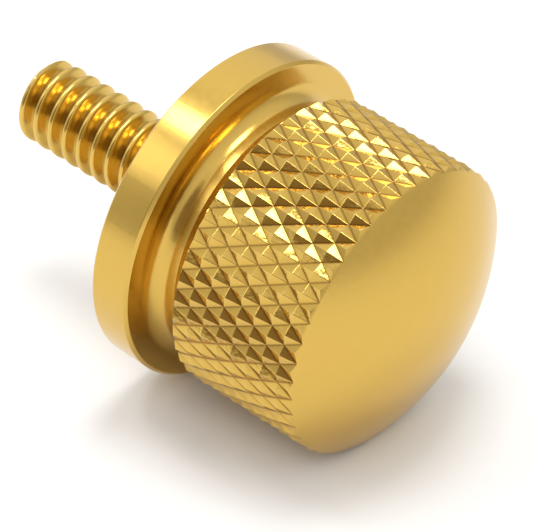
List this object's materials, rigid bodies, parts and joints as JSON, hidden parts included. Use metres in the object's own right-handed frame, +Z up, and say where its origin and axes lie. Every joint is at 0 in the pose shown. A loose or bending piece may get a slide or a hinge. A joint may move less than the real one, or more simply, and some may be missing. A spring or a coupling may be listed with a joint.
{
  "type": "knurled bolt",
  "caption": "One-piece knurled thumb bolt: a threaded stud, a round flange, a coved collar and a domed head with a diamond knurl, for clamping by hand.",
  "frame": {"origin": "middle of the bolt's footprint, on the table that it lies on", "axes": "+Z up from the table, +X along the bolt as it lies, towards the head, whose end dips by about 5 degrees"},
  "size_m": [0.0282, 0.0188, 0.0189],
  "materials": {
    "gold_brass": "satin polish, bright knurl"
  },
  "bodies": {
    "root": {"knurled_bolt": "gold_brass"}
  },
  "joints": []
}
